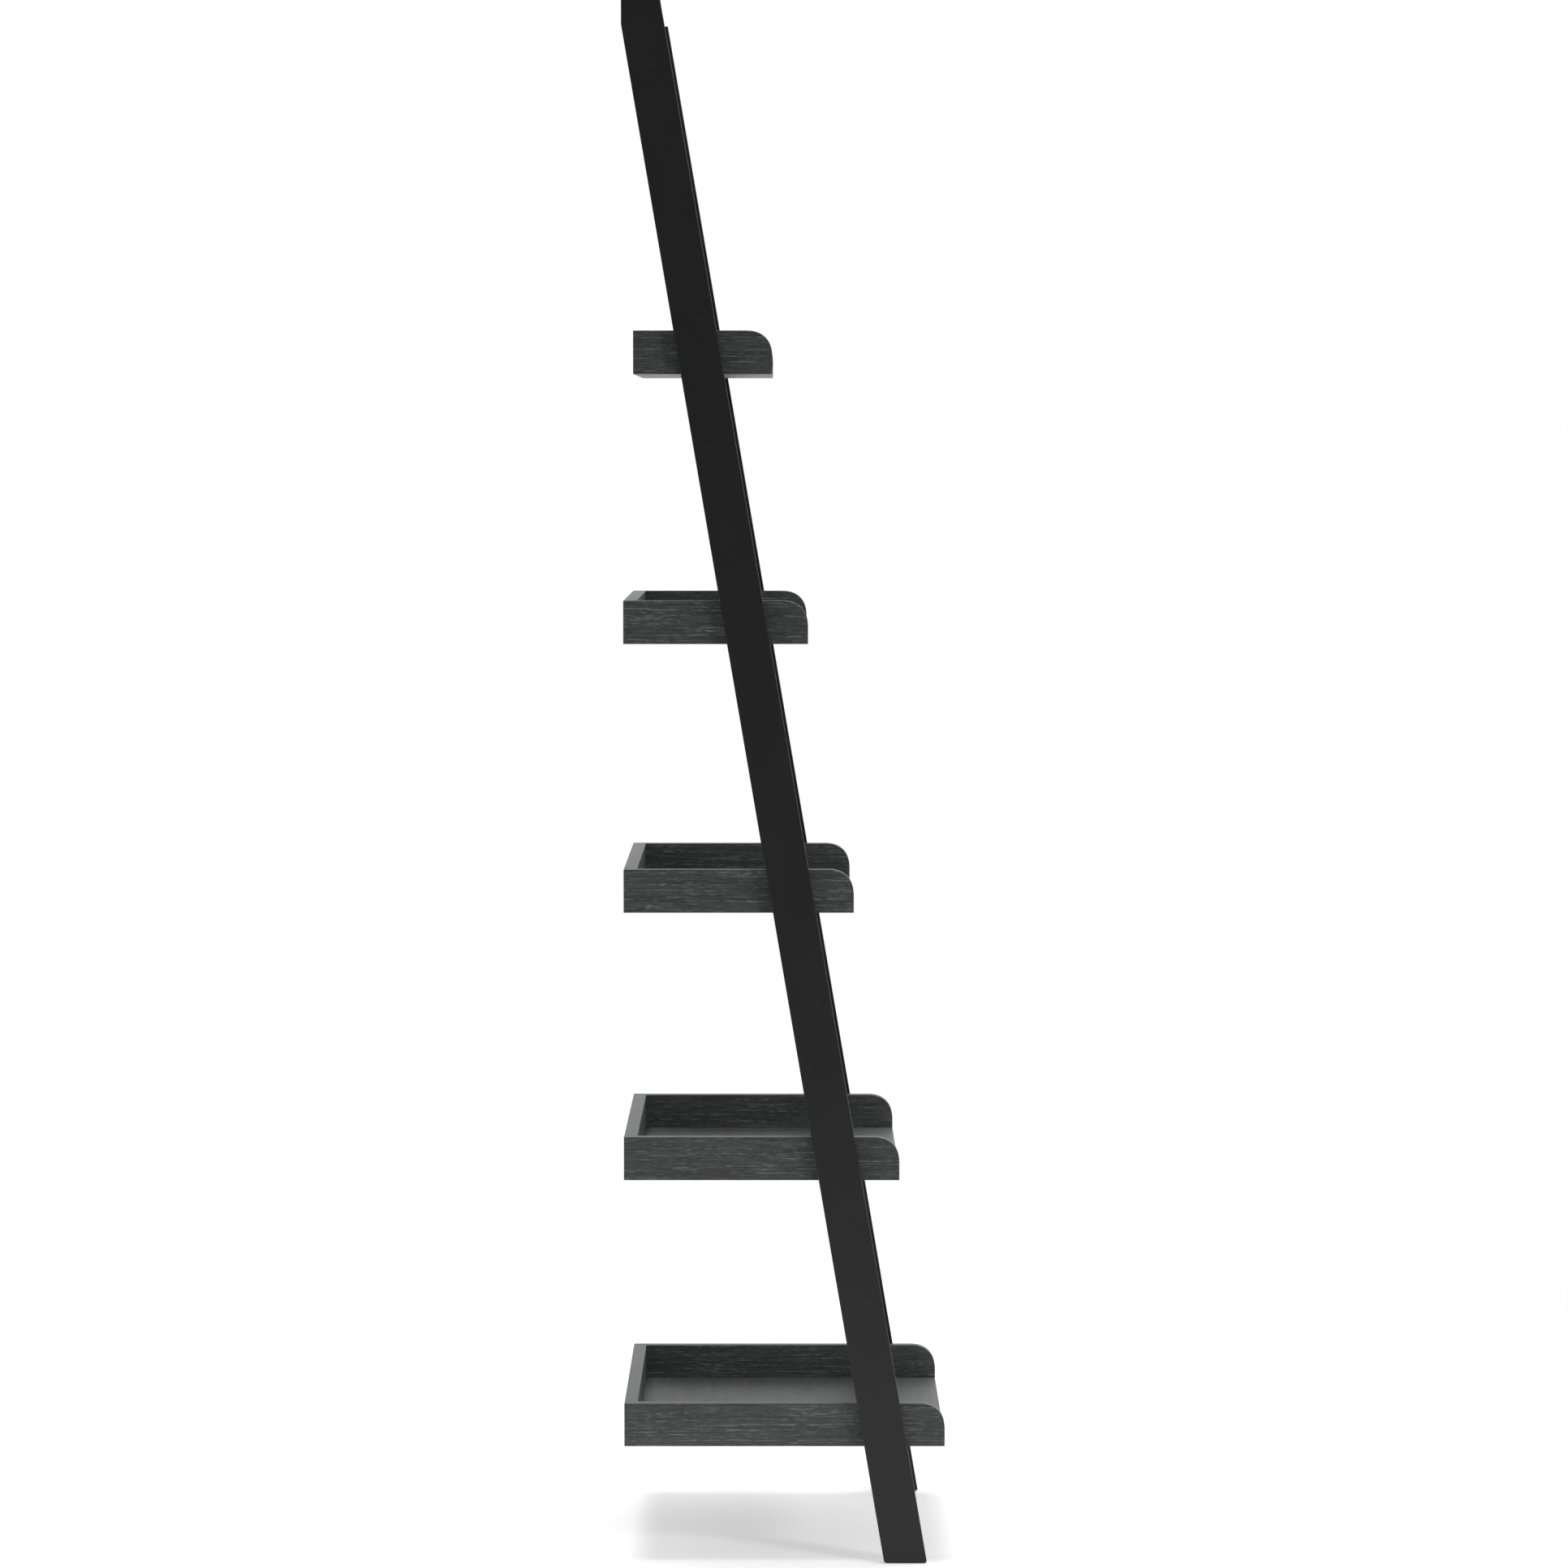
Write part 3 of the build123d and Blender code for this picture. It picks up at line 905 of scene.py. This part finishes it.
def model_bracket():
    """The right wall bracket: bent sheet, with one leg on the rail and one flat on the wall."""
    sizes = bpy.context.scene.shelf_sizes
    low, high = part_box("right_wall_bracket")
    middle_z = (low.z + high.z) / 2
    deselect_all()
    bpy.ops.mesh.primitive_plane_add(
        size=1, location=((low.x + high.x) / 2, high.y, middle_z), rotation=(math.pi / 2, 0, 0),
    )
    bpy.context.active_object.scale = (high.x - low.x, high.z - low.z, 1)
    bracket = settle("right_bracket_plate")
    with Editing(bracket) as edit:
        edit.pick("edges", lambda edge: close(middle(edge).x, high.x))
        bpy.ops.mesh.extrude_region_move(TRANSFORM_OT_translate={"value": (0, low.y - high.y, 0)})
        edit.pick("edges", lambda edge: (
            close(middle(edge).x, high.x) and close(middle(edge).y, high.y)))
        round_edges(sizes.bracket_bend + sizes.bracket_sheet, 8)
        edit.pick("verts", lambda vert: close(vert.co.x, low.x) or close(vert.co.y, low.y))
        bpy.ops.mesh.bevel(offset=sizes.bracket_corner, segments=8, affect="VERTICES")
    apply_modifier(bracket, "SOLIDIFY", thickness=sizes.bracket_sheet, offset=1)
    soften(bracket, sizes.fitting_edge, 2)
    past = sizes.bracket_sheet + OVERRUN
    hole_x = high.x - sizes.wall_hole_place
    cut_away(bracket, bar("wall_hole", (hole_x, high.y - past, middle_z),
                          (hole_x, high.y + past, middle_z), sizes.wall_hole))
    hole_radius = sizes.screw_radius + sizes.bolt_clearance
    for y, z in screw_places():
        cut_away(bracket, bar("screw_hole", (high.x - past, y, z), (high.x + past, y, z),
                              hole_radius))
    return bracket


def model_foot_pad():
    """The right foot's pad."""
    sizes = bpy.context.scene.shelf_sizes
    low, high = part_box("right_foot_pad")
    pad = block("right_pad", low, high)
    with Editing(pad) as edit:
        edit.pick("edges", lambda edge: runs_along(edge, 2))
        round_edges(sizes.pad_corner, 6)
    soften(pad, sizes.fitting_edge, 2)
    return pad


def place_pairs(master, name, places):
    """Copies of one fitting, on both sides of the shelf at each (y, z), as one piece."""
    copies = [
        copy_at(master, (0, y, z), turned)
        for y, z in places for turned in (0, math.pi)
    ]
    return join(name, copies)


# ---- studio -------------------------------------------------------------------------------------

def lay_floor(studio):
    """A round pale floor, just clear of the pads."""
    deselect_all()
    bpy.ops.mesh.primitive_circle_add(
        vertices=128,
        radius=studio.floor_radius,
        fill_type="NGON",
        location=(0, 0, -studio.floor_drop),
    )
    floor = settle("studio_floor")
    floor.data.materials.append(white_floor(studio))


def light_room(studio):
    """A white surround for the camera. It lights the shelf more from behind than from in front."""
    world = bpy.data.worlds.new("studio_room")
    bpy.context.scene.world = world
    room = Finish(world)
    way = room.add("ShaderNodeTexCoord", output="Generated")
    behind = room.add("ShaderNodeSeparateXYZ", None, {"Vector": way}, output="X")
    strength = studio.room + studio.backdrop * behind.between(0.1, 0.8)
    seen = room.add("ShaderNodeLightPath", output="Is Camera Ray")
    glow = room.add("ShaderNodeBackground", None,
                    {"Color": (1, 1, 1, 1), "Strength": strength * (1 - seen) + seen})
    room.add("ShaderNodeOutputWorld", None, {"Surface": glow}, output=None)


def shine(name, strength, size, turn, rise):
    """A distant soft light. turn is from the camera's direction round to the front, and rise is
    above level."""
    deselect_all()
    to_light = Vector((
        -math.cos(turn) * math.cos(rise),
        -math.sin(turn) * math.cos(rise),
        math.sin(rise),
    ))
    bpy.ops.object.light_add(type="SUN", rotation=to_light.to_track_quat("Z", "Y").to_euler())
    light = bpy.context.active_object
    light.name = name
    light.data.energy = strength
    light.data.angle = size


def hang_lights(studio):
    """The overhead light, the key light and three broad panels."""
    shine("top_light", studio.top_light, studio.top_angle, -math.pi / 2,
          math.pi / 2 - studio.top_tilt)
    shine("key_light", studio.key_light, studio.key_angle, studio.key_turn, studio.key_rise)
    shine("wall_side_panel", studio.wall_panel, studio.panel_angle, -studio.wall_turn,
          studio.low_rise)
    shine("front_panel", studio.front_panel, studio.panel_angle, studio.front_turn, studio.low_rise)
    shine("far_panel", studio.far_panel, studio.panel_angle, studio.far_turn, studio.far_rise)


def place_camera(studio):
    """Looks at the shelf's left side, a little downwards."""
    bpy.ops.object.camera_add(
        location=(-studio.camera_distance, 0, studio.camera_height),
        rotation=(math.pi / 2 - studio.camera_tilt, 0, -math.pi / 2),
    )
    camera = bpy.context.active_object
    camera.data.lens = studio.lens
    camera.data.dof.use_dof = False
    bpy.context.scene.camera = camera


# ---- steps --------------------------------------------------------------------------------------

class LADDER_SHELF_OT_rails(bpy.types.Operator):
    """Make the two leaning rails"""

    bl_idname = "ladder_shelf.rails"
    bl_label = "Rails"

    def execute(self, context):
        right = model_rail()
        boards = {"right": right, "left": other_hand(right, "left_rail_board")}
        for lane, (hand, board) in enumerate(boards.items()):
            smooth(board)
            lay_grain(board, along=(0, rail_lean(), 1), through=(1, 0, 0), lane=lane)
            hand_over(board, "rail_wood", painted_rail(), f"{hand}_rail")
        return {"FINISHED"}


class LADDER_SHELF_OT_tray_sides(bpy.types.Operator):
    """Make the side boards of every tray"""

    bl_idname = "ladder_shelf.tray_sides"
    bl_label = "Tray sides"

    def execute(self, context):
        corner = context.scene.shelf_sizes.corner
        for number, tray in enumerate(TRAYS):
            path = way_round_side(*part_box(f"{tray}_right_side"), corner)
            right = model_tray_side(tray)
            boards = {"right": right, "left": other_hand(right, f"{tray}_left_side_board")}
            for lane, (hand, board) in enumerate(boards.items()):
                smooth(board)
                lay_grain(board, along=(0, 1, 0), through=(1, 0, 0), path=path,
                          lane=SIDE_LANE + 2 * number + lane)
                hand_over(board, "tray_wood", tray_wood(), f"{tray}_{hand}_side")
        return {"FINISHED"}


class LADDER_SHELF_OT_tray_floors(bpy.types.Operator):
    """Make the floor of every tray"""

    bl_idname = "ladder_shelf.tray_floors"
    bl_label = "Tray floors"

    def execute(self, context):
        for number, tray in enumerate(TRAYS):
            board = model_tray_floor(tray)
            smooth(board)
            lay_grain(board, along=(1, 0, 0), through=(0, 0, 1), lane=FLOOR_LANE + number)
            hand_over(board, "tray_wood", tray_wood("floor"), f"{tray}_floor")
        return {"FINISHED"}


class LADDER_SHELF_OT_tray_backs(bpy.types.Operator):
    """Make the back of every tray"""

    bl_idname = "ladder_shelf.tray_backs"
    bl_label = "Tray backs"

    def execute(self, context):
        for number, tray in enumerate(TRAYS):
            board = model_tray_back(tray)
            smooth(board)
            lay_grain(board, along=(1, 0, 0), through=(0, 1, 0), lane=BACK_LANE + number)
            hand_over(board, "tray_wood", tray_wood(), f"{tray}_back")
        return {"FINISHED"}


class LADDER_SHELF_OT_bolts(bpy.types.Operator):
    """Make the bolts that hold the trays to the rails"""

    bl_idname = "ladder_shelf.bolts"
    bl_label = "Bolts"

    def execute(self, context):
        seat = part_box(f"{TRAYS[0]}_right_side")[0].x
        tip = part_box(f"{TRAYS[0]}_bolts")[1].x
        bolt = model_bolt(seat, tip)
        for tray in TRAYS:
            bolts = place_pairs(bolt, f"{tray}_bolt_set", bolt_places(tray))
            hand_over(bolts, "bolt_metal", black_steel(), f"{tray}_bolts")
        bpy.data.objects.remove(bolt)
        return {"FINISHED"}


class LADDER_SHELF_OT_brackets(bpy.types.Operator):
    """Make the brackets that hold the rails to the wall"""

    bl_idname = "ladder_shelf.brackets"
    bl_label = "Wall brackets"

    def execute(self, context):
        right = model_bracket()
        plates = {"right": right, "left": other_hand(right, "left_bracket_plate")}
        for hand, plate in plates.items():
            smooth(plate)
            hand_over(plate, "bracket_metal", powder_coat(), f"{hand}_wall_bracket")
        return {"FINISHED"}


class LADDER_SHELF_OT_screws(bpy.types.Operator):
    """Make the screws that hold the brackets to the rails"""

    bl_idname = "ladder_shelf.screws"
    bl_label = "Bracket screws"

    def execute(self, context):
        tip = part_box("bracket_screws")[1].x
        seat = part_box("right_rail")[0].x - context.scene.shelf_sizes.bracket_sheet
        screw = model_screw(seat, tip)
        screws = place_pairs(screw, "bracket_screw_set", screw_places())
        hand_over(screws, "screw_metal", black_steel(), "bracket_screws")
        bpy.data.objects.remove(screw)
        return {"FINISHED"}


class LADDER_SHELF_OT_foot_pads(bpy.types.Operator):
    """Make the pads under the rails"""

    bl_idname = "ladder_shelf.foot_pads"
    bl_label = "Foot pads"

    def execute(self, context):
        right = model_foot_pad()
        pads = {"right": right, "left": other_hand(right, "left_pad")}
        for hand, pad in pads.items():
            smooth(pad)
            hand_over(pad, "foot_pad", pad_rubber(), f"{hand}_foot_pad")
        return {"FINISHED"}


class LADDER_SHELF_OT_inner_fittings(bpy.types.Operator):
    """Finish the threaded inserts and the dowels, which are inside the boards"""

    bl_idname = "ladder_shelf.inner_fittings"
    bl_label = "Inserts and dowels"

    def execute(self, context):
        finishes = {"_inserts": turned_brass, "_dowels": beech_dowel}
        for name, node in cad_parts.items():
            for ending, finish in finishes.items():
                if name.endswith(ending):
                    node.data.materials.clear()
                    node.data.materials.append(finish())
        return {"FINISHED"}


class LADDER_SHELF_OT_studio(bpy.types.Operator):
    """Set up the floor, the lights and the camera"""

    bl_idname = "ladder_shelf.studio"
    bl_label = "Studio"

    def execute(self, context):
        studio = context.scene.shelf_studio
        lay_floor(studio)
        light_room(studio)
        hang_lights(studio)
        place_camera(studio)
        context.scene.view_settings.view_transform = "Standard"
        return {"FINISHED"}


STEPS = [
    LADDER_SHELF_OT_rails,
    LADDER_SHELF_OT_tray_sides,
    LADDER_SHELF_OT_tray_floors,
    LADDER_SHELF_OT_tray_backs,
    LADDER_SHELF_OT_bolts,
    LADDER_SHELF_OT_brackets,
    LADDER_SHELF_OT_screws,
    LADDER_SHELF_OT_foot_pads,
    LADDER_SHELF_OT_inner_fittings,
    LADDER_SHELF_OT_studio,
]


class LADDER_SHELF_PT_steps(bpy.types.Panel):
    """Lists the steps and the values that they use"""

    bl_idname = "LADDER_SHELF_PT_steps"
    bl_label = "Ladder Shelf"
    bl_space_type = "VIEW_3D"
    bl_region_type = "UI"
    bl_category = "Ladder Shelf"

    def draw(self, context):
        for step in STEPS:
            self.layout.operator(step.bl_idname)
        for group in GROUPS:
            box = self.layout.box()
            values = getattr(context.scene, group)
            for name in values.bl_rna.properties.keys():
                if name not in ("rna_type", "name"):
                    box.prop(values, name)


GROUPS = {"shelf_sizes": ShelfSizes, "shelf_colours": ShelfColours, "shelf_studio": ShelfStudio}
CLASSES = [*GROUPS.values(), *STEPS, LADDER_SHELF_PT_steps]


def register():
    for group in CLASSES:
        bpy.utils.register_class(group)
    for name, group in GROUPS.items():
        setattr(bpy.types.Scene, name, PointerProperty(type=group))


def unregister():
    for name in GROUPS:
        delattr(bpy.types.Scene, name)
    for group in reversed(CLASSES):
        bpy.utils.unregister_class(group)


def main():
    """Takes every step in order."""
    register()
    for step in STEPS:
        family, name = step.bl_idname.split(".")
        getattr(getattr(bpy.ops, family), name)()


if __name__ == "__main__":
    main()
